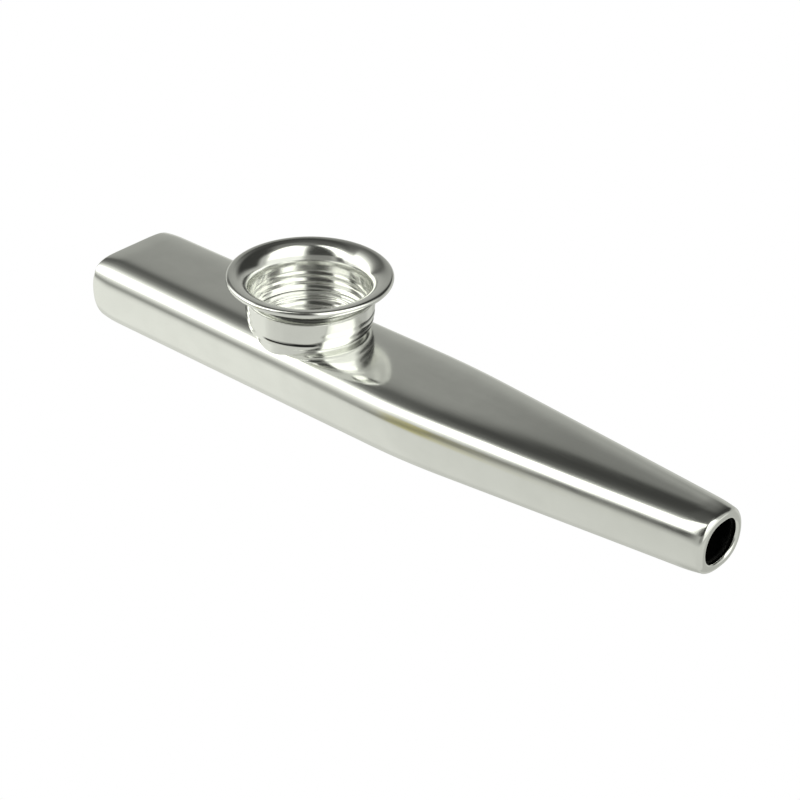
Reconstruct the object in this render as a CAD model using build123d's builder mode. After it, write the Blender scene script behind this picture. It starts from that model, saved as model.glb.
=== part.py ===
"""Metal kazoo: a flattened tapered tube, a threaded collar on its top, and a flared
cup that screws into the collar and clamps the buzzing membrane.

Millimetres. +X runs from the wide mouth end to the narrow tip, +Z is up.
The origin is under the middle of the length, on the surface that the tube lies on.
"""
import os
from math import pi

from build123d import *

os.makedirs("parts", exist_ok=True)

# Tube, outside sizes
tube_length = 120.0
mouth_width = 19.1
mouth_height = 12.75
bend_width = 19.85
bend_height = 12.4
tip_width = 10.9
tip_height = 9.8
tip_bottom = 2.35
top_corner = 4.1
side_flat = 1.9
tip_side_flat = 0.6
bend_from_mouth = 67.3
bend_half_blend = 7.0
tube_wall = 0.6
foot_trim = 0.05

# Rolled ends of the tube
mouth_lip_width = 1.05
mouth_lip_depth = 1.1
mouth_lip_round = 0.5
tip_lip_width = 1.7
tip_lip_depth = 1.8
tip_lip_round = 0.8

# Collar
cup_from_mouth = 41.1
collar_overhang = 0.42
collar_wall = 0.45
collar_edge_inset = 0.7
collar_edge_rise = 0.3
collar_foot_inset = 2.5
collar_foot_wall = 0.6
sound_hole_ledge = 0.5
seat_rise = 0.56
seat_thickness = 0.45
collar_depth = 4.95
collar_edge_round = 0.15

# Thread, the same helix on the collar and on the cup's stem
thread_pitch = 1.25
thread_start_drop = 0.1
collar_plain_band = 1.92
stem_plain_band = 0.68
thread_depth = 0.22
thread_crest_width = 0.3
thread_root_width = 0.75
thread_groove_depth = 0.25
thread_side_clearance = 0.2
thread_embed = 0.1

# Membrane
membrane_clearance = 0.3
film_thickness = 0.1
ring_thickness = 0.4
ring_inner_radius = 7.9

# Cup
clamp_gap = 0.05
stem_clearance = 0.07
stem_wall = 0.48
stem_groove_depth = 0.28
flare_reach = 3.4
flare_rise = 0.05
rim_bead_radius = 0.55

# One overrun for all cuts
overrun = 1.0

# Places worked out from the sizes above
mouth_x = -tube_length / 2
tip_x = tube_length / 2
bend_x = mouth_x + bend_from_mouth
cup_x = mouth_x + cup_from_mouth
blend_start_x = bend_x - bend_half_blend
blend_end_x = bend_x + bend_half_blend
mouth_corner = mouth_height - top_corner - side_flat
bend_corner = bend_height - top_corner - side_flat
tip_corner = (tip_height - tip_side_flat) / 2
mouth_section = (mouth_width, mouth_height + foot_trim, -foot_trim, top_corner, mouth_corner)
bend_section = (bend_width, bend_height + foot_trim, -foot_trim, top_corner, bend_corner)
tip_section = (tip_width, tip_height, tip_bottom, tip_corner, tip_corner)
blend_shares = (0, 0.25, 0.5, 0.75, 1)
inner_round_share = 0.8


def mix(first, second, share):
    """Values part of the way from the first section to the second."""
    return tuple(a + (b - a) * share for a, b in zip(first, second))


def straight_section(x):
    """Section of the nearly straight run, from the mouth to the bend."""
    return mix(mouth_section, bend_section, (x - mouth_x) / bend_from_mouth)


def taper_section(x):
    """Section of the taper, from the bend to the tip."""
    return mix(bend_section, tip_section, (x - bend_x) / (tip_x - bend_x))


def blend_section(share):
    """Section of the rounded bend: a parabola between the two runs."""
    before = mix(straight_section(blend_start_x), bend_section, share)
    after = mix(bend_section, taper_section(blend_end_x), share)
    return mix(before, after, share)


def draw_section(x, section, inset):
    """Flattened outline across the tube at x, drawn in by the inset on every side."""
    width, height, bottom, upper, lower = section
    half = width / 2 - inset
    low = bottom + inset
    high = bottom + height - inset
    upper = upper - inset
    lower = lower - inset
    with BuildSketch(Plane(origin=(x, 0, 0), x_dir=(0, 1, 0), z_dir=(1, 0, 0))) as outline:
        with BuildLine():
            Line((lower - half, low), (half - lower, low))
            CenterArc((half - lower, low + lower), lower, -90, 90)
            Line((half, low + lower), (half, high - upper))
            CenterArc((half - upper, high - upper), upper, 0, 90)
            Line((half - upper, high), (upper - half, high))
            CenterArc((upper - half, high - upper), upper, 90, 90)
            Line((-half, high - upper), (-half, low + lower))
            CenterArc((lower - half, low + lower), lower, 180, 90)
        make_face()
    return outline.sketch


def tube_run(first_x, last_x, inset, mode):
    """Three runs of the tube: straight, rounded bend and taper."""
    first = draw_section(first_x, straight_section(first_x), inset)
    last = draw_section(last_x, taper_section(last_x), inset)
    bend = []
    for share in blend_shares:
        x = blend_start_x + (blend_end_x - blend_start_x) * share
        bend.append(draw_section(x, blend_section(share), inset))
    loft([first, bend[0]], ruled=True, mode=mode)
    loft(bend, mode=mode)
    loft([bend[-1], last], ruled=True, mode=mode)


# Heights and radii about the cup's axis, from the tube's top upwards
cup_section = straight_section(cup_x)
tube_top = cup_section[1] + cup_section[2]
tube_middle = tube_top / 2
collar_radius = cup_section[0] / 2 + collar_overhang
seat_height = tube_top + seat_rise
collar_top = seat_height + collar_depth
collar_inner_radius = collar_radius - collar_wall
collar_floor_radius = collar_radius - collar_edge_inset
collar_bottom = seat_height - seat_thickness
collar_foot_radius = collar_radius - collar_foot_inset
collar_foot_inner = collar_foot_radius - collar_foot_wall
sound_hole_radius = collar_foot_inner - sound_hole_ledge
film_top = seat_height + film_thickness
ring_top = film_top + ring_thickness
membrane_radius = collar_inner_radius - membrane_clearance
stem_bottom = ring_top + clamp_gap
stem_radius = collar_inner_radius - stem_clearance
stem_inner = stem_radius - stem_wall
thread_start = seat_height - thread_start_drop
collar_turns = (collar_top - collar_plain_band - thread_start) / thread_pitch
stem_turns = (collar_top - stem_plain_band - thread_start) / thread_pitch

cup_plane = Plane(origin=(cup_x, 0, 0), x_dir=(1, 0, 0), z_dir=(0, -1, 0))
cup_axis = Axis((cup_x, 0, 0), (0, 0, 1))


def thread_profile(helix, shape):
    """Face square to the start of a helix; x is radial, outwards."""
    start = Plane(origin=helix @ 0, x_dir=(1, 0, 0), z_dir=helix % 0)
    with BuildSketch(start) as profile:
        with BuildLine():
            Polyline(*shape, close=True)
        make_face()
    return profile.sketch


def thread_run(radius, start_height, turns, shape, mode):
    """Sweep a thread's profile along its helix about the cup's axis."""
    height = thread_pitch * turns
    with BuildLine(mode=Mode.PRIVATE) as path:
        Helix(thread_pitch, height, radius, center=(cup_x, 0, start_height))
    section = thread_profile(path.line, shape)
    sweep(section, path=path.line, is_frenet=True, mode=mode)


def ridge_shape(embed):
    """Ridge that stands inwards from the helix by the thread's depth."""
    root = thread_root_width / 2
    crest = thread_crest_width / 2
    return ((embed, root), (-thread_depth, crest), (-thread_depth, -crest), (embed, -root))


def groove_shape(depth, bottom_width, top_width):
    """Groove cut inwards from the helix, open outwards past the surface."""
    slope = (top_width - bottom_width) / depth
    outer = (top_width + slope * thread_embed) / 2
    inner = bottom_width / 2
    return ((thread_embed, outer), (-depth, inner), (-depth, -inner), (thread_embed, -outer))


# Tube with its rolled ends, the sound hole under the collar and the flat it lies on
with BuildPart() as body_tube:
    tube_run(mouth_x, tip_x, 0, Mode.ADD)
    mouth_face = body_tube.faces().sort_by(Axis.X)[0]
    tip_face = body_tube.faces().sort_by(Axis.X)[-1]
    fillet(mouth_face.edges(), radius=mouth_lip_round)
    fillet(tip_face.edges(), radius=tip_lip_round)
    tube_run(mouth_x + mouth_lip_depth, tip_x - tip_lip_depth, tube_wall, Mode.SUBTRACT)
    mouth_opening = draw_section(mouth_x, mouth_section, mouth_lip_width)
    extrude(mouth_opening, amount=mouth_lip_depth + overrun, mode=Mode.SUBTRACT)
    tip_opening = draw_section(tip_x, tip_section, tip_lip_width)
    extrude(tip_opening, amount=-tip_lip_depth - overrun, mode=Mode.SUBTRACT)
    mouth_face = body_tube.faces().sort_by(Axis.X)[0]
    tip_face = body_tube.faces().sort_by(Axis.X)[-1]
    fillet(mouth_face.inner_wires().edges(), radius=mouth_lip_round * inner_round_share)
    fillet(tip_face.inner_wires().edges(), radius=tip_lip_round * inner_round_share)
    with BuildSketch(Plane(origin=(cup_x, 0, tube_middle))):
        Circle(sound_hole_radius)
    extrude(amount=tube_top, mode=Mode.SUBTRACT)
    split(bisect_by=Plane.XY, keep=Keep.TOP)
body_tube.part.label = "body_tube"
export_step(body_tube.part, "parts/body_tube.step")

# Collar: narrow foot on the tube, a floor that is the membrane's seat, threaded wall
with BuildPart() as collar:
    with BuildSketch(cup_plane):
        with BuildLine():
            Polyline(
                (collar_foot_inner, tube_middle),
                (collar_foot_radius, tube_middle),
                (collar_foot_radius, collar_bottom),
                (collar_floor_radius, collar_bottom),
                (collar_radius, collar_bottom + collar_edge_rise),
                (collar_radius, collar_top),
                (collar_inner_radius, collar_top),
                (collar_inner_radius, seat_height),
                (collar_foot_inner, seat_height),
                close=True,
            )
        make_face()
    revolve(axis=cup_axis)
    rim = collar.edges().filter_by(GeomType.CIRCLE).group_by(Axis.Z)[-1]
    fillet(rim, radius=collar_edge_round)
    thread_run(
        collar_inner_radius, thread_start, collar_turns,
        ridge_shape(thread_embed), Mode.ADD,
    )
    thread_run(
        collar_radius, thread_start, collar_turns,
        groove_shape(thread_groove_depth, thread_crest_width, thread_root_width),
        Mode.SUBTRACT,
    )
    tube_run(mouth_x, tip_x, 0, Mode.SUBTRACT)
collar.part.label = "collar"
export_step(collar.part, "parts/collar.step")

# Membrane: a film on the seat, carried by a stiff ring
with BuildPart() as membrane_film:
    with BuildSketch(Plane(origin=(cup_x, 0, seat_height))):
        Circle(membrane_radius)
    extrude(amount=film_thickness)
membrane_film.part.label = "membrane_film"
export_step(membrane_film.part, "parts/membrane_film.step")

with BuildPart() as membrane_ring:
    with BuildSketch(Plane(origin=(cup_x, 0, film_top))):
        Circle(membrane_radius)
        Circle(ring_inner_radius, mode=Mode.SUBTRACT)
    extrude(amount=ring_thickness)
membrane_ring.part.label = "membrane_ring"
export_step(membrane_ring.part, "parts/membrane_ring.step")

# Cup: threaded stem that opens into a flare over the collar's edge, with a beaded rim
flare_center = (stem_inner + flare_reach, collar_top + flare_rise)
rim_top = flare_center[1] + flare_reach
under_radius = flare_reach - stem_wall
with BuildPart() as screw_cap:
    with BuildSketch(cup_plane):
        with BuildLine():
            Polyline(
                (stem_inner, flare_center[1]),
                (stem_inner, stem_bottom),
                (stem_radius, stem_bottom),
                (stem_radius, flare_center[1]),
            )
            CenterArc(flare_center, under_radius, 180, -90)
            Line(
                (flare_center[0], rim_top - stem_wall),
                (flare_center[0], rim_top),
            )
            CenterArc(flare_center, flare_reach, 90, 90)
        make_face()
        with Locations((flare_center[0], rim_top - rim_bead_radius)):
            Circle(rim_bead_radius)
    revolve(axis=cup_axis)
    thread_run(
        stem_radius, thread_start, stem_turns,
        groove_shape(
            stem_groove_depth,
            thread_crest_width + thread_side_clearance,
            thread_root_width + thread_side_clearance,
        ),
        Mode.SUBTRACT,
    )
    thread_run(
        stem_inner, thread_start + thread_pitch, stem_turns - 1,
        ridge_shape(thread_embed), Mode.ADD,
    )
screw_cap.part.label = "screw_cap"
export_step(screw_cap.part, "parts/screw_cap.step")

# Rise of the cup for each turn, and what the turn does to it in radians
print("rise per radian", thread_pitch / (2 * pi))
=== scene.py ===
"""Looks of the metal kazoo, laid over its packed frame.

The tube, the collar, the membrane and the cup are surfaces worked out with numpy. Each is a
grid of points that is a function of two parameters. Lengths are metres. +X runs from the wide
mouth end to the narrow tip, +Z is up, and the tube lies on the floor at height zero.
"""

import math

import bpy
import numpy as np
from bpy.props import FloatProperty, FloatVectorProperty, IntProperty, PointerProperty
from mathutils import Matrix, Vector


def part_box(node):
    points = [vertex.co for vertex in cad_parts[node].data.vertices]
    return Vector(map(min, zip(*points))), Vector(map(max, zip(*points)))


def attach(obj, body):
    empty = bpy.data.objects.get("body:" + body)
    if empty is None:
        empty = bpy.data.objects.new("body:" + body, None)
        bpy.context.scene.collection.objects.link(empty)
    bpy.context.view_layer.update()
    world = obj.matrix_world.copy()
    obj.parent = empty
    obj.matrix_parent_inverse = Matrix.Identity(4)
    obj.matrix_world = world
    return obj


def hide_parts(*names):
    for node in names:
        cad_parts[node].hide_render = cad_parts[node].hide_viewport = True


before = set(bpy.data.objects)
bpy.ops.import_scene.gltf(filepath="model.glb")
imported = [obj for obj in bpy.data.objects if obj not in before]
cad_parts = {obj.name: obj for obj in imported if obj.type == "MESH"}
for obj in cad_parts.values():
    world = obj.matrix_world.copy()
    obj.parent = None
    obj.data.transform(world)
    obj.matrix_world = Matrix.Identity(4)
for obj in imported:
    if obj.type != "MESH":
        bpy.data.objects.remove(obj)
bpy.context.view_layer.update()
tube_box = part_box("body_tube")
collar_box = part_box("collar")
film_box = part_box("membrane_film")
ring_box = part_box("membrane_ring")
cap_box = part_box("screw_cap")

# How far the collar's edge lies below the edge of its solid.
EDGE_DROP = 0.0003
# Focal length in pixels of an 800 pixel frame. The aim's offsets are pixels divided by it.
FOCAL_PIXELS = 2309.49

bl_info = {
    "name": "Kazoo",
    "version": (1, 0, 0),
    "blender": (4, 5, 0),
    "location": "View3D > Sidebar > Kazoo",
    "description": "Builds the tube, collar, membrane and cup of a metal kazoo, and its stage",
    "category": "Add Mesh",
}


def length(name, description, default):
    """A size in metres that a user can change."""
    return FloatProperty(name=name, description=description, default=default,
                         precision=5, unit="LENGTH")


def colour(name, description, default):
    """A surface colour that a user can change."""
    return FloatVectorProperty(name=name, description=description, default=default,
                               subtype="COLOR", size=3, min=0, max=1)


def share(name, description, default):
    """A plain number between nought and one."""
    return FloatProperty(name=name, description=description, default=default,
                         min=0, max=1, subtype="FACTOR")


def angle(name, description, degrees):
    """An angle, kept in radians."""
    return FloatProperty(name=name, description=description, default=math.radians(degrees),
                         subtype="ANGLE")


class KazooTubeSizes(bpy.types.PropertyGroup):
    """Outside sizes of the tube and of its rolled ends."""
    mouth_x: length("Mouth", "Place of the wide end", tube_box[0].x)
    tip_x: length("Tip", "Place of the narrow end", tube_box[1].x)
    bend_x: length("Bend", "Where the taper starts", 0.0073)
    bend_blend: length("Bend blend", "Half the length of the rounded bend", 0.007)
    mouth_width: length("Mouth width", "Width at the wide end", 0.0191)
    bend_width: length("Bend width", "Width where the taper starts", 0.01985)
    tip_width: length("Tip width", "Width at the narrow end", 0.0109)
    mouth_top: length("Mouth top", "Height at the wide end", 0.01275)
    bend_top: length("Bend top", "Height where the taper starts", 0.0124)
    tip_top: length("Tip top", "Height of the top at the narrow end", 0.01215)
    tip_bottom: length("Tip bottom", "Height of the underside at the narrow end", 0.00235)
    waist: length("Waist", "Height of the widest line at the wide end", 0.0076)
    tip_waist: length("Tip waist", "Height of the widest line at the narrow end", 0.00725)
    wall: length("Wall", "Thickness of the sheet", 0.0006)
    mouth_lip: length("Mouth lip", "Width of the rolled wide end", 0.00105)
    mouth_round: length("Mouth rounding", "Outer rounding of the wide end", 0.0006)
    tip_lip: length("Tip lip", "Width of the rolled narrow end", 0.0015)
    tip_round: length("Tip rounding", "Outer rounding of the narrow end", 0.0008)
    mouth_step: length("Mouth step", "Depth of the rolled wide end inside", 0.0016)
    tip_step: length("Tip step", "Depth of the rolled narrow end inside", 0.0024)
    end_draw: length("End draw", "How far both ends are drawn in by their rolling", 0.0003)
    draw_length: length("Draw length", "Length over which an end is drawn in", 0.004)
    hole: length("Sound hole", "Radius of the hole under the collar", 0.0066)


class KazooCupSizes(bpy.types.PropertyGroup):
    """Sizes of the collar, the membrane and the cup about their common axis."""
    axis_x: length("Axis", "Place of the cup along the tube",
                   (cap_box[0].x + cap_box[1].x) / 2)
    collar_radius: length("Collar radius", "Outside of the threaded collar",
                          (collar_box[1].x - collar_box[0].x) / 2)
    collar_wall: length("Collar wall", "Thickness of the threaded collar", 0.00045)
    collar_top: length("Collar top", "Height of the collar's edge", collar_box[1].z - EDGE_DROP)
    edge_round: length("Edge rounding", "Rounding of the collar's edge", 0.00016)
    collar_floor: length("Collar floor", "Thickness of the collar's floor", 0.00045)
    collar_draw: length("Collar draw", "How far the wall is drawn in at its floor", 0.00037)
    collar_curve: length("Collar curve", "Height over which the wall is drawn in", 0.0021)
    neck_radius: length("Neck radius", "Outside of the neck that stands on the tube", 0.00895)
    neck_wall: length("Neck wall", "Thickness of the neck", 0.00185)
    seat: length("Seat", "Height of the step that the membrane lies on", film_box[0].z)
    film_top: length("Film top", "Height of the film's upper face", film_box[1].z)
    ring_top: length("Ring top", "Height of the carrier ring's upper face", ring_box[1].z)
    membrane_radius: length("Membrane radius", "Outside of the film and its ring",
                            (film_box[1].x - film_box[0].x) / 2)
    ring_inner: length("Ring inside", "Inner radius of the carrier ring", 0.0079)
    slack: length("Slack", "Height of the film's waves", 0.00012)
    dome: length("Dome", "Rise of the film at its middle", 0.00004)
    stem_bottom: length("Stem bottom", "Lower edge of the cup's stem", cap_box[0].z)
    stem_radius: length("Stem radius", "Outside of the cup's stem", 0.009679)
    stem_wall: length("Stem wall", "Thickness of the cup's stem and flare", 0.00048)
    rim_radius: length("Rim radius", "Outside of the flared rim",
                       (cap_box[1].x - cap_box[0].x) / 2)
    rim_top: length("Rim top", "Height of the flared rim", cap_box[1].z)
    rim_bead: length("Rim bead", "Radius of the rolled rim", 0.00055)
    relief: length("Relief", "Depth of the stem's relief under the flare", 0.00026)
    pitch: length("Thread pitch", "Rise of the thread in one turn", 0.00125)
    thread_start: length("Thread start", "Height of the thread's first coil", 0.012996)
    groove_depth: length("Groove depth", "Depth of the thread on the stem", 0.00028)
    rib_depth: length("Rib depth", "How far the thread shows inside the cup", 0.00005)
    wave_depth: length("Wave depth", "How far the thread shows on the collar", 0.00005)
    crease_depth: length("Crease depth", "Depth of the thread's sharp stretches", 0.00012)
    # Where painted shade lies in the gap under the flare, and how far it reaches to each side.
    shade_turn: angle("Grime turn", "Where shadow has settled under the flare", -71)
    shade_reach: angle("Grime reach", "How far that shadow goes to each side", 50)
    columns: IntProperty(name="Columns", description="Points round the axis",
                         default=240, min=24, max=320)


class KazooFinish(bpy.types.PropertyGroup):
    """Colours and gloss of the metal, the film and the ring."""
    metal: colour("Metal", "Bright aluminium", (0.945, 0.95, 0.93))
    metal_shade: colour("Metal shade", "Slightly duller patches", (0.915, 0.92, 0.90))
    # Dark colour of painted shade: inside the tube, in the thread's creases and under the flare.
    painted_shade: colour("Stain", "Shaded inside of the tube and grime in the thread", (0.02, 0.02, 0.02))
    tube_blur: share("Tube blur", "Roughness of the tube's drawn metal", 0.13)
    cup_blur: share("Cup blur", "Roughness of the turned collar and cup", 0.14)
    film: colour("Film", "Silvery membrane", (0.95, 0.95, 0.93))
    ring_blur: share("Ring blur", "Roughness of the membrane's carrier ring", 0.1)


class KazooStageSizes(bpy.types.PropertyGroup):
    """Camera place and studio light."""
    azimuth: angle("Azimuth", "Camera's turn about the upright axis", 40.81)
    elevation: angle("Elevation", "Camera's angle above the floor", 30.51)
    roll: angle("Roll", "Camera's turn about its own line of sight", 0.97)
    distance: length("Distance", "From the camera to the target", 0.35602)
    target_z: length("Target height", "Height of the point that the camera circles", 0.008)
    lens: FloatProperty(name="Lens", description="Focal length in millimetres for a 36 mm sensor",
                        default=103.93)
    aim_right: FloatProperty(name="Aim right", description="Turn of the aim, as a share of depth",
                             default=0.14 / FOCAL_PIXELS)
    aim_up: FloatProperty(name="Aim up", description="Tilt of the aim, as a share of depth",
                          default=-10.29 / FOCAL_PIXELS)
    floor_radius: length("Floor radius", "Reach of the round floor", 2.0)
    floor_drop: length("Floor drop", "Gap that keeps the floor clear of the tube", 0.0001)
    floor_glow: FloatProperty(name="Floor brightness", description="Brightness of the white floor",
                              default=1.0)
    bounces: IntProperty(name="Bounces", default=12, min=0,
                         description="Times that light passes between the cup's bright walls")
    light: FloatProperty(name="Light", description="Strength of the studio light", default=0.78)
    tint: colour("Tint", "Colour of the studio light", (0.984, 1.0, 0.921))


# Surfaces

# Exponents of the tube's outline, across and upwards, at the wide end and at the tip.
UPPER_WIDE, UPPER_TIP = (6.4, 2.24), (2.6, 2.07)
LOWER_WIDE, LOWER_TIP = (3.4, 2.13), (2.6, 2.07)
NEWTON_STEPS = 14
# Rows of points along the tube and over the parts of a rolled end.
OUTSIDE_ROWS, INSIDE_ROWS = 180, 60
ARC_ROWS, FLAT_ROWS, STEP_ROWS = 14, 5, 9
INNER_ROUND_SHARE = 0.8
# Rows on a rounded corner, and the most of a side that its rounding takes.
CORNER_ROWS = 7
CUT_SHARE = 0.49


def ease(value, start, end):
    """Smooth step: nought before start, one after end, and 3t^2 - 2t^3 in between."""
    t = np.clip((value - start) / (end - start), 0, 1)
    return t * t * (3 - 2 * t)


def grid_faces(rows, columns, wrap_rows):
    """Quads that join each point of a grid to the next row and column.
    The columns always close on themselves, the rows only where they wrap."""
    i, j = np.meshgrid(np.arange(rows if wrap_rows else rows - 1), np.arange(columns),
                       indexing="ij")
    a, b = (i + 1) % rows, (j + 1) % columns
    quads = np.stack([i * columns + j, a * columns + j, a * columns + b, i * columns + b], -1)
    return quads.reshape(-1, 4)


def enclosed(points, quads):
    """Signed volume: the sum of the corner products of the triangles of each quad."""
    p = points[quads]
    first = np.einsum("ij,ij->i", p[:, 0], np.cross(p[:, 1], p[:, 2]))
    second = np.einsum("ij,ij->i", p[:, 0], np.cross(p[:, 2], p[:, 3]))
    return float((first + second).sum())


def add_surface(name, points, wrap_rows=True, painted_shade=None):
    """A smooth mesh object from a grid of points, its faces turned outwards by the sign of the
    volume that it encloses. A painted shade between nought and one may be given for each point."""
    rows, columns, _ = points.shape
    quads = grid_faces(rows, columns, wrap_rows)
    flat = points.reshape(-1, 3)
    if enclosed(flat, quads) < 0:
        quads = quads[:, ::-1]
    mesh = bpy.data.meshes.new(name)
    mesh.from_pydata(flat.tolist(), [], quads.tolist())
    mesh.polygons.foreach_set("use_smooth", np.ones(len(mesh.polygons), bool))
    if painted_shade is not None:
        layer = mesh.attributes.new("painted_shade", "FLOAT", "POINT")
        layer.data.foreach_set("value", np.broadcast_to(painted_shade, points.shape[:2]).ravel())
    mesh.update()
    piece = bpy.data.objects.new(name, mesh)
    bpy.context.scene.collection.objects.link(piece)
    return piece


def place(piece, material, body, node):
    """Gives a piece its finish, the CAD node that it stands for and the body that it rides on."""
    piece.data.materials.clear()
    piece.data.materials.append(material)
    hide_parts(node)
    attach(piece, body)


def bent(x, first, bend, last, tube):
    """Two straight slopes that meet at the bend, joined by a parabola over the blend."""
    before = (bend - first) / (tube.bend_x - tube.mouth_x)
    after = (last - bend) / (tube.tip_x - tube.bend_x)
    away, half = x - tube.bend_x, tube.bend_blend
    curve = np.where(away > half, away, np.maximum(away + half, 0) ** 2 / (4 * half))
    return bend + before * away + (after - before) * curve


def tube_section(x, tube):
    """Half width, top, bottom, waist and the four exponents of the tube's outline at x."""
    half = bent(x, tube.mouth_width, tube.bend_width, tube.tip_width, tube) / 2
    top = bent(x, tube.mouth_top, tube.bend_top, tube.tip_top, tube)
    bottom = bent(x, 0, 0, tube.tip_bottom, tube)
    waist = bent(x, tube.waist, tube.waist, tube.tip_waist, tube)
    upper = [bent(x, wide, wide, tip, tube) for wide, tip in zip(UPPER_WIDE, UPPER_TIP)]
    lower = [bent(x, wide, wide, tip, tube) for wide, tip in zip(LOWER_WIDE, LOWER_TIP)]
    return half, top, bottom, waist, upper, lower


def tube_top(x, y, tube):
    """Height of the tube's upper surface: waist + rise (1 - |y / half|^n)^(1 / m)."""
    half, top, _, waist, (n, m), _ = tube_section(x, tube)
    left = np.clip(1 - np.minimum(np.abs(y) / half, 1) ** n, 0, 1)
    return waist + (top - waist) * left ** (1 / m)


def outline_reach(turn, n, m):
    """Distance r along the ray at a turn to the curve |r cos|^n + |r sin|^m = 1, by Newton
    steps from outside, where they close in from one side."""
    c, s = np.abs(np.cos(turn)), np.abs(np.sin(turn))
    reach = np.full(np.broadcast(turn, n).shape, math.sqrt(2))
    for _ in range(NEWTON_STEPS):
        over = (reach * c) ** n + (reach * s) ** m - 1
        slope = (n * (reach * c) ** n + m * (reach * s) ** m) / reach
        reach = reach - over / slope
    return reach


def tube_points(x, inset, columns, tube):
    """Rows of outline points at each x, drawn in by the inset.
    In each row y = half r cos and z = waist + rise r sin, with the fall for the underside."""
    turn = np.arange(columns)[None, :] * 2 * math.pi / columns
    half, top, bottom, waist, upper, lower = tube_section(x, tube)
    high = np.sin(turn) >= 0
    n = np.where(high, upper[0][:, None], lower[0][:, None])
    m = np.where(high, upper[1][:, None], lower[1][:, None])
    reach = outline_reach(turn, n, m)
    rise = np.where(high, (top - inset - waist)[:, None], (waist - bottom - inset)[:, None])
    y = (half - inset)[:, None] * reach * np.cos(turn)
    z = waist[:, None] + rise * reach * np.sin(turn)
    return np.stack([np.broadcast_to(x[:, None], y.shape), y, z], -1)


def lip_path(end, side, lip, rounding, wall, depth):
    """Row by row x, inset and painted shade over a rolled end, from the outside round to the inner
    wall: a quarter circle, the flat lip, a smaller quarter circle, the inner edge and an eased
    step out to the wall, where the painted shade of the dark inside sets in. Side is 1 at the tip
    and -1 at the mouth."""
    t = np.linspace(0, math.pi / 2, ARC_ROWS)
    small = rounding * INNER_ROUND_SHARE
    outer_x, outer_in = rounding * (1 - np.sin(t)), rounding * (1 - np.cos(t))
    flat_in = np.linspace(rounding, lip - small, FLAT_ROWS)[1:-1]
    inner_x, inner_in = small * (1 - np.cos(t)), lip - small * (1 - np.sin(t))
    step = np.linspace(0, 1, STEP_ROWS)[1:]
    step_x = small + (depth - small) * step
    step_in = lip - (lip - wall) * ease(step, 0.45, 1)
    back = np.concatenate([outer_x, 0 * flat_in, inner_x, step_x])
    inset = np.concatenate([outer_in, flat_in, inner_in, step_in])
    # Painted shade fades in along the step towards the dark inside.
    painted_shade = np.concatenate([0 * outer_x, 0 * flat_in, 0 * inner_x, ease(step, -0.2, 0.5)])
    return end - side * back, inset, painted_shade


def tube_path(tube):
    """The tube's whole skin as one closed run of x, inset and painted shade: outside from the
    mouth to the tip, over the tip's lip, back along the inside, which is painted in shade, and
    over the mouth's lip. Near each end the inset grows as a parabola, which draws the end in."""
    tip_x, tip_in, tip_shade = lip_path(tube.tip_x, 1, tube.tip_lip, tube.tip_round, tube.wall,
                                        tube.tip_step)
    mouth_x, mouth_in, mouth_shade = lip_path(tube.mouth_x, -1, tube.mouth_lip, tube.mouth_round,
                                              tube.wall, tube.mouth_step)
    outside = np.linspace(mouth_x[0], tip_x[0], OUTSIDE_ROWS)[1:-1]
    inside = np.linspace(tip_x[-1], mouth_x[-1], INSIDE_ROWS)[1:-1]
    x = np.concatenate([outside, tip_x, inside, mouth_x[::-1]])
    inset = np.concatenate([0 * outside, tip_in, 0 * inside + tube.wall, mouth_in[::-1]])
    # The whole inside is painted in shade.
    painted_shade = np.concatenate([0 * outside, tip_shade, 0 * inside + 1, mouth_shade[::-1]])
    from_end = np.minimum(x - tube.mouth_x, tube.tip_x - x)
    draw = np.clip(1 - from_end / tube.draw_length, 0, 1) ** 2
    return x, inset + tube.end_draw * draw, painted_shade


def ring_points(profile, columns, axis_x):
    """A profile of radius and height carried round the cup's upright axis."""
    turn = np.arange(columns)[None, :] * 2 * math.pi / columns
    r, z = profile[:, 0][:, None], profile[:, 1][:, None]
    return np.stack([axis_x + r * np.cos(turn), r * np.sin(turn), z + 0 * turn], -1)


def rounded_profile(corners, spacing):
    """A closed outline of radius and height through corners, each with its own rounding.
    A corner is a parabola between points cut back along both sides, and sides are divided
    evenly by the spacing."""
    p = np.array([c[:2] for c in corners], float)
    cut = np.array([c[2] for c in corners], float)[:, None]
    ahead, behind = np.roll(p, -1, 0) - p, np.roll(p, 1, 0) - p
    ahead_len = np.linalg.norm(ahead, axis=1, keepdims=True)
    behind_len = np.linalg.norm(behind, axis=1, keepdims=True)
    start = p + behind / behind_len * np.minimum(cut, behind_len * CUT_SHARE)
    end = p + ahead / ahead_len * np.minimum(cut, ahead_len * CUT_SHARE)
    rows = []
    for i in range(len(p)):
        t = np.linspace(0, 1, CORNER_ROWS if cut[i, 0] > 0 else 1)[:, None]
        rows.append((1 - t) ** 2 * start[i] + 2 * t * (1 - t) * p[i] + t ** 2 * end[i])
        gap = start[(i + 1) % len(p)] - end[i]
        count = max(int(np.linalg.norm(gap) / spacing), 1)
        rows.append(end[i] + np.linspace(0, 1, count + 1)[1:-1, None] * gap)
    return np.concatenate(rows)


def arc(center, radius, first, last, count):
    """Corners on a circle of radius and height, from the first to the last angle in degrees."""
    t = np.radians(np.linspace(first, last, count))
    r, z = center[0] + radius * np.cos(t), center[1] + radius * np.sin(t)
    return [(a, b, 0) for a, b in zip(r, z)]


def thread(turn, height, start, pitch, turns, width, fade, first=0.0):
    """How far a point belongs to a right-handed thread, from nought to one: a squared parabola
    over the height above or below the nearest coil, fading in and out along the helix.
    The thread starts at the height on the +X side and shows from the first turn onwards."""
    along = np.mod(turn, 2 * math.pi) / (2 * math.pi)
    coil = np.round((height - start) / pitch - along)
    away = height - start - pitch * (coil + along)
    done = coil + along - first
    ends = ease(done, 0, fade) * (1 - ease(done, turns - fade, turns))
    return np.clip(1 - (away / width) ** 2, 0, 1) ** 2 * ends


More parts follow.
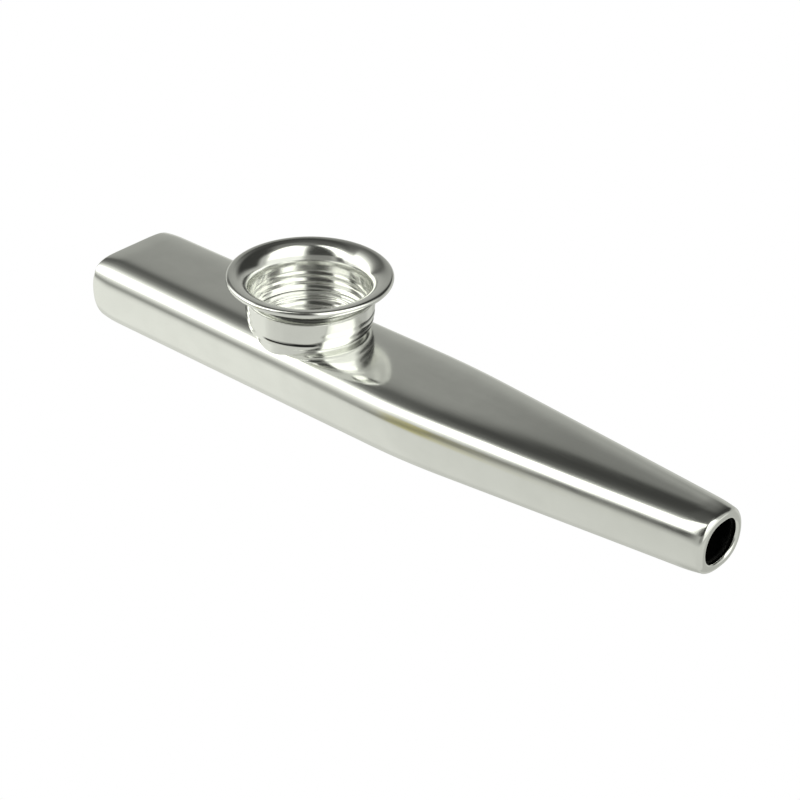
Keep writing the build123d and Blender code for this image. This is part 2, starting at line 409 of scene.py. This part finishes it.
def move_out(points, axis_x, amount):
    """Moves points away from the cup's axis by an amount for each."""
    x, y = points[..., 0] - axis_x, points[..., 1]
    scale = 1 + amount / np.hypot(x, y)
    return np.stack([axis_x + x * scale, y * scale, points[..., 2]], -1)


# Finishes

# Scale of the fine lines along the tube, across and along turned metal, and of duller patches.
TUBE_LINES = (90, 2600, 2600)
TURNED_LINES, TURNED_ALONG = 5200.0, 1.1
PATCH_SCALE = 210.0
CLOUD_SCALE, CRINKLE_SCALE = 330.0, 1500.0
# Extra roughness where shade is painted.
SHADE_BLUR = 0.4
DIM_FILM_SHARE = 0.9


class Nodes:
    """Short ways to add nodes to a tree and link them."""

    def __init__(self, tree):
        self.tree = tree
        self.tree.nodes.clear()

    def add(self, kind, links=None, **settings):
        """A node with its settings, each input linked to a socket or set to a value."""
        node = self.tree.nodes.new(kind)
        for name, value in settings.items():
            setattr(node, name, value)
        for socket, value in (links or {}).items():
            if isinstance(value, bpy.types.NodeSocket):
                self.tree.links.new(value, node.inputs[socket])
            else:
                node.inputs[socket].default_value = value
        return node

    def math(self, operation, first, second=0.0):
        """One sum or function of one or two values."""
        return self.add("ShaderNodeMath", {0: first, 1: second}, operation=operation).outputs[0]

    def span(self, value, low, high, to_low, to_high, smooth=True):
        """Maps a value from one range to another, held at both ends."""
        kind = "SMOOTHSTEP" if smooth else "LINEAR"
        return self.add("ShaderNodeMapRange", {"Value": value, "From Min": low, "From Max": high,
                                               "To Min": to_low, "To Max": to_high},
                        interpolation_type=kind).outputs[0]

    def mix(self, factor, first, second):
        """One colour at factor nought and the other at one."""
        return self.add("ShaderNodeMix", {0: factor, 6: first, 7: second},
                        data_type="RGBA").outputs[2]

    def tinted(self, factor, first, second):
        """The first colour at factor nought, and both multiplied at one."""
        return self.add("ShaderNodeMix", {0: factor, 6: first, 7: second}, data_type="RGBA",
                        blend_type="MULTIPLY").outputs[2]

    def near(self, value, centre, inner, outer):
        """One within the inner distance of a centre, and nought beyond the outer."""
        away = self.math("ABSOLUTE", self.math("SUBTRACT", value, centre))
        return self.span(away, inner, outer, 1, 0)

    def degrees(self, radians):
        """An angle in degrees."""
        return self.math("MULTIPLY", radians, 180 / math.pi)

    def ramp(self, value, stops):
        """Brightness by a value, straight between stops of value and brightness."""
        low, high = stops[0][0], stops[-1][0]
        node = self.add("ShaderNodeValToRGB", {0: self.span(value, low, high, 0, 1, smooth=False)})
        marks = node.color_ramp.elements
        while len(marks) < len(stops):
            marks.new(0.5)
        for mark, (where, bright) in zip(marks, stops):
            mark.position = (where - low) / (high - low)
            mark.color = (bright, bright, bright, 1)
        return node.outputs[0]


def new_material(name):
    """An empty node material."""
    material = bpy.data.materials.new(name)
    material.use_nodes = True
    return material, Nodes(material.node_tree)


def metal_material(name, finish, blur, axis_x=None):
    """Bright drawn aluminium. Patches shift the colour and the blur a little, and fine lines
    lie along the tube, or round the cup's axis where an axis is given. The painted shade
    attribute darkens the colour and raises the blur."""
    material, nodes = new_material(name)
    place_of = nodes.add("ShaderNodeTexCoord").outputs["Object"]
    if axis_x is None:
        lines = nodes.add("ShaderNodeMapping", {"Vector": place_of,
                                                "Scale": TUBE_LINES}).outputs[0]
    else:
        centred = nodes.add("ShaderNodeMapping", {"Vector": place_of,
                                                  "Location": (-axis_x, 0, 0)}).outputs[0]
        parts = nodes.add("ShaderNodeSeparateXYZ", {0: centred}).outputs
        across = nodes.math("SQRT", nodes.math("ADD", nodes.math("MULTIPLY", parts[0], parts[0]),
                                               nodes.math("MULTIPLY", parts[1], parts[1])))
        turn = nodes.math("ARCTAN2", parts[1], parts[0])
        lines = nodes.add("ShaderNodeCombineXYZ", {
            0: nodes.math("MULTIPLY", across, TURNED_LINES),
            1: nodes.math("MULTIPLY", parts[2], TURNED_LINES),
            2: nodes.math("MULTIPLY", turn, TURNED_ALONG)}).outputs[0]
    fine = nodes.add("ShaderNodeTexNoise", {"Vector": lines, "Scale": 1.0, "Detail": 3.0,
                                            "Roughness": 0.6}).outputs["Fac"]
    patches = nodes.add("ShaderNodeTexNoise", {"Vector": place_of, "Scale": PATCH_SCALE,
                                               "Detail": 4.0, "Roughness": 0.55}).outputs["Fac"]
    tone = nodes.mix(nodes.span(patches, 0.3, 0.7, 0.0, 1.0), (*finish.metal, 1),
                     (*finish.metal_shade, 1))
    # Painted shade: a point attribute that mixes in the dark colour where shade falls.
    painted_shade = nodes.add("ShaderNodeAttribute", attribute_name="painted_shade").outputs["Fac"]
    tone = nodes.mix(painted_shade, tone, (*finish.painted_shade, 1))
    rough = nodes.math("ADD", nodes.span(fine, 0.25, 0.75, -0.02, 0.02),
                       nodes.span(patches, 0.3, 0.7, blur - 0.015, blur + 0.015))
    rough = nodes.math("ADD", rough, nodes.math("MULTIPLY", painted_shade, SHADE_BLUR))
    bump = nodes.add("ShaderNodeBump", {"Height": fine, "Strength": 0.12, "Distance": 0.000012})
    shader = nodes.add("ShaderNodeBsdfPrincipled", {"Base Color": tone,
                                                    "Metallic": 1.0, "Roughness": rough,
                                                    "Normal": bump.outputs[0]})
    nodes.add("ShaderNodeOutputMaterial", {"Surface": shader.outputs[0]})
    return material


def film_material(finish):
    """Thin silvery film, bright as foil, with faint clouds and a fine crinkle."""
    material, nodes = new_material("film")
    place_of = nodes.add("ShaderNodeTexCoord").outputs["Object"]
    clouds = nodes.add("ShaderNodeTexNoise", {"Vector": place_of, "Scale": CLOUD_SCALE,
                                              "Detail": 5.0}).outputs["Fac"]
    crinkle = nodes.add("ShaderNodeTexNoise", {"Vector": place_of, "Scale": CRINKLE_SCALE,
                                               "Detail": 3.0}).outputs["Fac"]
    dim = tuple(DIM_FILM_SHARE * c for c in finish.film)
    tone = nodes.mix(nodes.span(clouds, 0.3, 0.7, 0.0, 1.0), (*finish.film, 1), (*dim, 1))
    bump = nodes.add("ShaderNodeBump", {"Height": crinkle, "Strength": 0.1,
                                        "Distance": 0.00001})
    shader = nodes.add("ShaderNodeBsdfPrincipled", {
        "Base Color": tone, "Metallic": 1.0,
        "Roughness": nodes.span(clouds, 0.3, 0.7, 0.05, 0.1), "Normal": bump.outputs[0]})
    nodes.add("ShaderNodeOutputMaterial", {"Surface": shader.outputs[0]})
    return material


# Studio light. Roll turns about the tube's length, from the near horizon at 0 over the zenith at
# 90 to the far horizon at 180. Lean is the slope along the length. Each list is brightness by
# roll, for light that meets the wide end, the bend, three stretches of the taper and its end.
WIDE_LIGHT = ((-180, 0.80), (-96, 0.86), (-84, 1.02), (-25, 1.02), (-19, 0.92), (-13, 0.70),
              (-9, 0.42), (-5, 0.34), (-1, 0.44), (5, 0.68), (11, 0.93), (17, 1.2), (25, 2.2),
              (66, 2.2), (72, 1.5), (79, 1.1), (91, 0.66), (98, 0.43), (114, 0.20), (128, 0.12),
              (133, 0.14), (139, 0.34), (147, 0.44), (180, 0.58))
BEND_LIGHT = ((-180, 0.75), (-96, 0.80), (-84, 0.92), (-31, 0.90), (-23, 0.86), (-19.5, 0.76),
              (-16.5, 0.28), (-12, 0.34), (-7, 0.50), (-1, 0.64), (5, 0.86), (11, 1.08),
              (17, 1.33), (23, 1.8), (30, 2.2), (50, 2.2), (56, 1.45), (61, 1.0), (67, 0.48),
              (73, 0.32), (79, 0.23), (86, 0.175), (97, 0.14), (115, 0.13), (121, 0.16),
              (127, 0.21), (133, 0.27), (139, 0.335), (145, 0.40), (151, 0.46), (180, 0.57))
TAPER_LIGHT = ((-180, 0.70), (-100, 0.72), (-90, 0.80), (-82, 0.84), (-25, 0.83), (-20, 0.76),
               (-15, 0.56), (-11, 0.37), (-7, 0.32), (-2, 0.42), (5, 0.54), (11, 0.75),
               (17, 1.0), (23, 1.3), (28, 2.0), (50, 2.2), (56, 1.4), (61, 1.05), (67, 0.54),
               (73, 0.25), (79, 0.17), (91, 0.12), (103, 0.075), (121, 0.06), (134, 0.06),
               (137, 0.07), (140, 0.13), (144, 0.33), (150, 0.43), (163, 0.49), (180, 0.58))
SLOPE_LIGHT = ((-180, 0.66), (-96, 0.72), (-84, 0.80), (-22, 0.81), (-16, 0.75), (-10, 0.56),
               (-5, 0.26), (2, 0.21), (8, 0.50), (13, 0.95), (18, 1.2), (23, 1.5), (28, 2.2),
               (49, 2.2), (55, 1.33), (61, 0.90), (67, 0.50), (73, 0.29), (79, 0.20), (85, 0.16),
               (94, 0.12), (103, 0.08), (115, 0.06), (130, 0.06), (139, 0.15), (144, 0.28),
               (151, 0.37), (163, 0.46), (180, 0.55))
NARROW_LIGHT = ((-180, 0.60), (-96, 0.58), (-84, 0.72), (-70, 0.80), (-8, 0.77), (-1, 0.55),
                (5, 0.18), (13, 0.12), (19, 0.40), (24, 1.4), (29, 2.2), (49, 2.2), (59, 1.2),
                (71, 0.64), (83, 0.22), (93, 0.12), (131, 0.07), (146, 0.35), (180, 0.55))
TIP_LIGHT = ((-180, 0.60), (-96, 0.62), (-84, 0.72), (-70, 0.79), (-6, 0.76), (1, 0.66),
             (8, 0.42), (13, 0.15), (20, 0.07), (25, 0.11), (29, 0.60), (33, 1.8), (38, 2.2),
             (52, 2.2), (64, 1.3), (70, 0.66), (76, 0.30), (85, 0.14), (93, 0.12), (131, 0.07),
             (146, 0.35), (180, 0.55))
# Where each list takes over from the one before: lean at the start and end of the change.
LEAN_LIGHTS = ((-37.5, -36, BEND_LIGHT), (-32, -29.5, TAPER_LIGHT), (-26, -24, SLOPE_LIGHT),
               (-23, -21, NARROW_LIGHT), (-19.8, -18, TIP_LIGHT))
# Brightness by elevation elsewhere, under soft panels. A panel is azimuth, half width, lowest
# and highest elevation, softness both ways and brightness.
SIDE_LEAN = (-11, -3)
SIDE_LIGHT = ((-90, 0.74), (-8, 0.74), (0, 0.58), (18, 0.50), (33, 0.38), (45, 0.20), (60, 0.25),
              (90, 0.22))
PANELS = (
    (-84, 8, 4, 30, 6, 12, 0.75),
    (-117, 16, 44, 82, 6, 8, 2.2),
    (8, 42, 4, 26, 12, 12, 1.25),
    (6, 42, 26, 80, 12, 10, 1.9),
    (52, 12, 12, 46, 10, 10, 0.6),
    (48, 26, -85, -3, 16, 8, 0.58),
    (86, 28, 16, 62, 16, 12, 0.05),
    (-67, 24, 4, 30, 16, 14, 0.3),
    (-69, 26, 30, 86, 14, 8, 0.06),
)
# Yellow tint of the thin dark line where it passes the bend: the colour, then the middle and
# the inner and outer reach of the patch by lean and by roll.
WARM = (1.0, 0.93, 0.5, 1)
WARM_LEAN = (-27.7, 3.2, 4.6)
WARM_ROLL = (-5.0, 10, 16)


def studio_world(strength, tint):
    """Soft studio light for the reflections and plain white for what the camera sees directly."""
    world = bpy.data.worlds.new("studio")
    world.use_nodes = True
    nodes = Nodes(world.node_tree)
    direction = nodes.add("ShaderNodeTexCoord").outputs["Generated"]
    along, across, up = nodes.add("ShaderNodeSeparateXYZ", {0: direction}).outputs
    high = nodes.degrees(nodes.math("ARCSINE", up))
    lean = nodes.degrees(nodes.math("ARCSINE", along))
    roll = nodes.degrees(nodes.math("ARCTAN2", up, nodes.math("MULTIPLY", across, -1.0)))
    light = nodes.ramp(roll, WIDE_LIGHT)
    for start, end, stops in LEAN_LIGHTS:
        light = nodes.mix(nodes.span(lean, start, end, 0, 1), light, nodes.ramp(roll, stops))
    light = nodes.mix(nodes.span(lean, *SIDE_LEAN, 0, 1), light, nodes.ramp(high, SIDE_LIGHT))
    turn = nodes.math("ARCTAN2", across, along)
    for azimuth, half, low, top, soft_turn, soft_high, bright in PANELS:
        apart = nodes.degrees(nodes.math("ARCCOSINE", nodes.math(
            "COSINE", nodes.math("SUBTRACT", turn, math.radians(azimuth)))))
        wide = nodes.span(apart, half - soft_turn / 2, half + soft_turn / 2, 1, 0)
        over = nodes.span(high, low - soft_high / 2, low + soft_high / 2, 0, 1)
        under = nodes.span(high, top - soft_high / 2, top + soft_high / 2, 1, 0)
        cover = nodes.math("MULTIPLY", wide, nodes.math("MULTIPLY", over, under))
        light = nodes.mix(cover, light, (bright, bright, bright, 1))
    patch = nodes.math("MULTIPLY", nodes.near(lean, *WARM_LEAN), nodes.near(roll, *WARM_ROLL))
    light = nodes.tinted(1.0, nodes.tinted(patch, light, WARM), (*tint, 1))
    seen = nodes.add("ShaderNodeLightPath").outputs["Is Camera Ray"]
    white = 1 / strength
    back = nodes.add("ShaderNodeBackground", {
        "Color": nodes.mix(seen, light, (white, white, white, 1)), "Strength": strength})
    nodes.add("ShaderNodeOutputWorld", {"Surface": back.outputs[0]})
    return world


# Operators

# Radius that stands for a point on the axis, and how far apart points lie along a profile.
AXIS_POINT = 0.00001
PROFILE_SPACING = 0.00006
# Share of the painted shade inside the tube, and the cutter of its sound hole: how far it
#  reaches above the seat, its spacing and its columns.
INSIDE_SHADE = 0.97
CUTTER_RISE, CUTTER_SPACING, CUTTER_COLUMNS = 0.004, 0.02, 128
# Collar: the neck's drop below the floor and how far it sinks into the tube, its shoulder, and
# the roundings of its shoulder, its lower wall, its upper wall, its seat and its hidden edge.
NECK_DROP, NECK_SINK = 0.00005, 0.00004
SHOULDER_RISE, SHOULDER_ROUND = 0.0001, 0.00015
LOW_WALL_ROUND, WALL_ROUND, SEAT_ROUND, HIDDEN_ROUND = 0.0003, 0.0012, 0.0001, 0.00001
# Where the collar's outer face counts: past its inner face, and above its floor's underside.
FACE_SKIN, FACE_RISE = 0.00004, 0.0002
# Runs of thread: turns, width, fade at each end and the turn at which it starts.
COLLAR_WAVE = (2.75, 0.00055, 0.12)
CREASES = ((0.165, 0.0003, 0.03, 0.735), (0.14, 0.0003, 0.03, 1.0), (0.14, 0.0003, 0.03, 2.0))
STEM_GROOVE = (3.5, 0.0005, 0.2)
CUP_RIB = (2.7, 0.00062, 0.4)
# How strongly painted shade darkens the creases.
CREASE_SHADE = 2.5
# Membrane: columns, middle radius, spacing and roundings of the film and the ring, and the
# waves of the film by turn and outwards.
MEMBRANE_COLUMNS = 160
FILM_MIDDLE, FILM_SPACING, FILM_ROUND = 0.000001, 0.00025, 0.00002
RING_SPACING, RING_LOW_ROUND, RING_ROUND = 0.0002, 0.00005, 0.0001
SLACK_WAVES, SLACK_SWIRL = 5, 9
# Cup: rows on the flare, the bead and the flare's underside, roundings, the relief's upper and
# lower ends and its step below the flare's centre, and where the thread ends.
FLARE_ROWS, BEAD_ROWS, UNDER_ROWS = 48, 26, 38
STEM_ROUND, RELIEF_ROUND, STEP_ROUND = 0.00012, 0.0002, 0.0001
RELIEF_TOP, RELIEF_BOTTOM, STEP_BOTTOM, THREAD_TOP = 0.0002, -0.0006, -0.0008, -0.0009
# Painted shade in the gap under the flare: its depth past the inner face, its lower and upper
#  level, the slope of the lower level and the turn where that starts, its even share of the reach
#  and its strength.
SHADE_SKIN, SHADE_LOW, SHADE_HIGH = 0.00012, -0.0004, 0.0004
SHADE_SLOPE, SHADE_SLOPE_START = 0.0006, 0.38
SHADE_EVEN_SHARE, SHADE_STRENGTH = 0.7, 0.8
FLOOR_COLUMNS = 64
SENSOR_WIDTH, CLIP_START = 36, 0.01


class KAZOO_OT_tube(bpy.types.Operator):
    """Build the tapered tube with its rolled ends and its sound hole"""
    bl_idname = "kazoo.tube"
    bl_label = "Tube"

    def execute(self, context):
        tube, cup, finish = (context.scene.kazoo_tube, context.scene.kazoo_cup,
                             context.scene.kazoo_finish)
        x, inset, painted_shade = tube_path(tube)
        # The tube's inside is painted in shade.
        piece = add_surface("tube", tube_points(x, inset, cup.columns, tube),
                            painted_shade=INSIDE_SHADE * painted_shade[:, None])
        low, high = tube.waist, cup.seat + CUTTER_RISE
        corners = [(AXIS_POINT, low, 0), (tube.hole, low, 0), (tube.hole, high, 0),
                   (AXIS_POINT, high, 0)]
        cutter = add_surface("sound_hole", ring_points(
            rounded_profile(corners, CUTTER_SPACING), CUTTER_COLUMNS, cup.axis_x))
        cut = piece.modifiers.new("sound_hole", "BOOLEAN")
        cut.operation, cut.solver, cut.object = "DIFFERENCE", "EXACT", cutter
        shaped = piece.evaluated_get(context.evaluated_depsgraph_get())
        mesh = bpy.data.meshes.new_from_object(shaped)
        piece.modifiers.clear()
        piece.data = mesh
        bpy.data.objects.remove(cutter)
        place(piece, metal_material("tube_metal", finish, finish.tube_blur), "body",
              "body_tube")
        return {"FINISHED"}


class KAZOO_OT_collar(bpy.types.Operator):
    """Build the threaded collar that stands on the tube's top"""
    bl_idname = "kazoo.collar"
    bl_label = "Collar"

    def execute(self, context):
        tube, cup = context.scene.kazoo_tube, context.scene.kazoo_cup
        outer, inner = cup.collar_radius, cup.collar_radius - cup.collar_wall
        neck, neck_in = cup.neck_radius, cup.neck_radius - cup.neck_wall
        under = cup.seat - cup.collar_floor
        base = under - NECK_DROP
        profile = rounded_profile([
            (neck, base, HIDDEN_ROUND), (neck, under + SHOULDER_RISE, SHOULDER_ROUND),
            (outer - cup.collar_draw, cup.seat, LOW_WALL_ROUND),
            (outer, under + cup.collar_curve, WALL_ROUND),
            (outer, cup.collar_top, cup.edge_round), (inner, cup.collar_top, cup.edge_round),
            (inner, cup.seat, SEAT_ROUND), (neck_in, cup.seat, SEAT_ROUND),
            (neck_in, base, HIDDEN_ROUND),
        ], PROFILE_SPACING)
        points = ring_points(profile, cup.columns, cup.axis_x)
        turn = np.arctan2(points[..., 1], points[..., 0] - cup.axis_x)
        height, radius = points[..., 2], np.broadcast_to(profile[:, :1], points.shape[:2])
        wave = thread(turn, height, cup.thread_start, cup.pitch, *COLLAR_WAVE)
        crease = np.maximum.reduce([
            thread(turn, height, cup.thread_start, cup.pitch, *run) for run in CREASES])
        wall = (radius > inner + FACE_SKIN) & (height > under + FACE_RISE)
        depth = cup.wave_depth * wave + cup.crease_depth * crease
        points = move_out(points, cup.axis_x, np.where(wall, -depth, 0))
        low = np.clip((under - height) / (under - base), 0, 1) * (radius < inner)
        ground = tube_top(points[..., 0], points[..., 1], tube) - NECK_SINK
        points[..., 2] -= low * (base - ground)
        # Painted shade blackens the creases on the collar's outer face.
        piece = add_surface("threaded_collar", points,
                            painted_shade=np.where(wall, np.clip(CREASE_SHADE * crease, 0, 1), 0))
        finish = context.scene.kazoo_finish
        place(piece, metal_material("collar_metal", finish, finish.cup_blur, cup.axis_x),
              "body", "collar")
        return {"FINISHED"}


class KAZOO_OT_membrane(bpy.types.Operator):
    """Build the buzzing film and the ring that carries it"""
    bl_idname = "kazoo.membrane"
    bl_label = "Membrane"

    def execute(self, context):
        cup, finish = context.scene.kazoo_cup, context.scene.kazoo_finish
        edge = cup.membrane_radius
        profile = rounded_profile([
            (FILM_MIDDLE, cup.seat, 0), (edge, cup.seat, FILM_ROUND),
            (edge, cup.film_top, FILM_ROUND), (FILM_MIDDLE, cup.film_top, 0)], FILM_SPACING)
        points = ring_points(profile, MEMBRANE_COLUMNS, cup.axis_x)
        turn = np.arctan2(points[..., 1], points[..., 0] - cup.axis_x)
        out = np.hypot(points[..., 1], points[..., 0] - cup.axis_x) / cup.ring_inner
        waves = np.sin(SLACK_WAVES * turn + SLACK_SWIRL * out)
        slack = np.clip(1 - out, 0, 1) * out ** 3 * waves
        points[..., 2] += cup.slack * slack + cup.dome * np.clip(1 - out ** 2, 0, 1)
        film = add_surface("film", points)
        place(film, film_material(finish), "membrane", "membrane_film")
        profile = rounded_profile([
            (cup.ring_inner, cup.film_top, RING_LOW_ROUND), (edge, cup.film_top, RING_LOW_ROUND),
            (edge, cup.ring_top, RING_ROUND), (cup.ring_inner, cup.ring_top, RING_ROUND),
        ], RING_SPACING)
        ring = add_surface("carrier_ring", ring_points(profile, MEMBRANE_COLUMNS, cup.axis_x))
        place(ring, metal_material("ring_metal", finish, finish.ring_blur, cup.axis_x),
              "membrane", "membrane_ring")
        return {"FINISHED"}


class KAZOO_OT_cup(bpy.types.Operator):
    """Build the flared cup with its threaded stem"""
    bl_idname = "kazoo.cup"
    bl_label = "Cup"

    def execute(self, context):
        cup = context.scene.kazoo_cup
        outer, inner = cup.stem_radius, cup.stem_radius - cup.stem_wall
        centre_r = cup.rim_radius - cup.rim_bead
        reach = centre_r - inner
        neck = outer - cup.relief
        centre = (centre_r, cup.rim_top - reach)
        bead = (centre_r, cup.rim_top - cup.rim_bead)
        profile = rounded_profile(
            [(inner, cup.stem_bottom, STEM_ROUND)]
            + arc(centre, reach, 180, 90, FLARE_ROWS)
            + arc(bead, cup.rim_bead, 85, -85, BEAD_ROWS)
            + arc(centre, reach - cup.stem_wall, 94, 168, UNDER_ROWS)
            + [(neck, centre[1] + RELIEF_TOP, RELIEF_ROUND),
               (neck, centre[1] + RELIEF_BOTTOM, STEP_ROUND),
               (outer, centre[1] + STEP_BOTTOM, STEP_ROUND),
               (outer, cup.stem_bottom, STEM_ROUND)], PROFILE_SPACING)
        points = ring_points(profile, cup.columns, cup.axis_x)
        turn = np.arctan2(points[..., 1], points[..., 0] - cup.axis_x)
        height, radius = points[..., 2], np.broadcast_to(profile[:, :1], points.shape[:2])
        level = height - centre[1]
        stem = level < THREAD_TOP
        outside = radius > (outer + inner) / 2
        groove = thread(turn, height, cup.thread_start, cup.pitch, *STEM_GROOVE)
        ridge = thread(turn, height, cup.thread_start + cup.pitch, cup.pitch, *CUP_RIB)
        points = move_out(points, cup.axis_x, stem * np.where(
            outside, -cup.groove_depth * groove, -cup.rib_depth * ridge))
        # Painted shade in the gap under the flare, strongest about its turn.
        aside = np.mod(turn - cup.shade_turn + math.pi, 2 * math.pi) - math.pi
        lowest = SHADE_LOW + SHADE_SLOPE * np.maximum(SHADE_SLOPE_START - aside, 0)
        gap = (radius > inner + SHADE_SKIN) & (level > lowest) & (level < SHADE_HIGH)
        even = cup.shade_reach * SHADE_EVEN_SHARE
        shading = 1 - ease(np.abs(aside), even, cup.shade_reach)
        piece = add_surface("cup", points, painted_shade=np.where(gap, SHADE_STRENGTH * shading, 0))
        finish = context.scene.kazoo_finish
        place(piece, metal_material("cup_metal", finish, finish.cup_blur, cup.axis_x),
              "cup", "screw_cap")
        return {"FINISHED"}


class KAZOO_OT_stage(bpy.types.Operator):
    """Set up the white floor, the studio light and the camera"""
    bl_idname = "kazoo.stage"
    bl_label = "Stage"

    def execute(self, context):
        stage = context.scene.kazoo_stage
        rings = np.array([[AXIS_POINT, -stage.floor_drop], [stage.floor_radius, -stage.floor_drop]])
        floor = add_surface("floor", ring_points(rings, FLOOR_COLUMNS, 0), wrap_rows=False)
        material, nodes = new_material("white_floor")
        glow = nodes.add("ShaderNodeEmission", {"Color": (1, 1, 1, 1),
                                                "Strength": stage.floor_glow})
        nodes.add("ShaderNodeOutputMaterial", {"Surface": glow.outputs[0]})
        floor.data.materials.append(material)
        floor.visible_glossy = floor.visible_diffuse = floor.visible_shadow = False
        floor.visible_transmission = False
        context.scene.world = studio_world(stage.light, stage.tint)
        context.scene.view_settings.view_transform = "Standard"
        context.scene.cycles.max_bounces = context.scene.cycles.glossy_bounces = stage.bounces

        a, e, r = stage.azimuth, stage.elevation, stage.roll
        back = Vector((math.sin(a) * math.cos(e), -math.cos(a) * math.cos(e), math.sin(e)))
        right = Vector((math.cos(a), math.sin(a), 0))
        up = back.cross(right)
        side = math.cos(r) * right + math.sin(r) * up
        crown = -math.sin(r) * right + math.cos(r) * up
        ahead = (-back + side * stage.aim_right + crown * stage.aim_up).normalized()
        side = (side - ahead * side.dot(ahead)).normalized()
        crown = side.cross(ahead)
        eye = Vector((0, 0, stage.target_z)) + back * stage.distance
        lens = bpy.data.cameras.new("camera")
        lens.lens, lens.sensor_width, lens.clip_start = stage.lens, SENSOR_WIDTH, CLIP_START
        camera = bpy.data.objects.new("camera", lens)
        camera.matrix_world = Matrix((
            (side.x, crown.x, -ahead.x, eye.x), (side.y, crown.y, -ahead.y, eye.y),
            (side.z, crown.z, -ahead.z, eye.z), (0, 0, 0, 1)))
        context.scene.collection.objects.link(camera)
        context.scene.camera = camera
        return {"FINISHED"}


class KAZOO_PT_panel(bpy.types.Panel):
    """Sidebar panel that lists the pieces and their settings"""
    bl_idname = "KAZOO_PT_panel"
    bl_label = "Kazoo"
    bl_space_type = "VIEW_3D"
    bl_region_type = "UI"
    bl_category = "Kazoo"

    def draw(self, context):
        for operator in OPERATORS:
            self.layout.operator(operator.bl_idname)
        for name, group in GROUPS.items():
            box = self.layout.box()
            box.label(text=group.__doc__)
            for setting in group.__annotations__:
                box.prop(getattr(context.scene, name), setting)


GROUPS = {"kazoo_tube": KazooTubeSizes, "kazoo_cup": KazooCupSizes, "kazoo_finish": KazooFinish,
          "kazoo_stage": KazooStageSizes}
OPERATORS = (KAZOO_OT_tube, KAZOO_OT_collar, KAZOO_OT_membrane, KAZOO_OT_cup, KAZOO_OT_stage)


def register():
    """Adds the settings, the operators and the panel."""
    for name, group in GROUPS.items():
        bpy.utils.register_class(group)
        setattr(bpy.types.Scene, name, PointerProperty(type=group))
    for cls in (*OPERATORS, KAZOO_PT_panel):
        bpy.utils.register_class(cls)


def unregister():
    """Takes them away again."""
    for cls in (KAZOO_PT_panel, *reversed(OPERATORS)):
        bpy.utils.unregister_class(cls)
    for name, group in GROUPS.items():
        delattr(bpy.types.Scene, name)
        bpy.utils.unregister_class(group)


def main():
    """Builds every piece and the stage."""
    register()
    bpy.ops.kazoo.tube()
    bpy.ops.kazoo.collar()
    bpy.ops.kazoo.membrane()
    bpy.ops.kazoo.cup()
    bpy.ops.kazoo.stage()


if __name__ == "__main__":
    main()
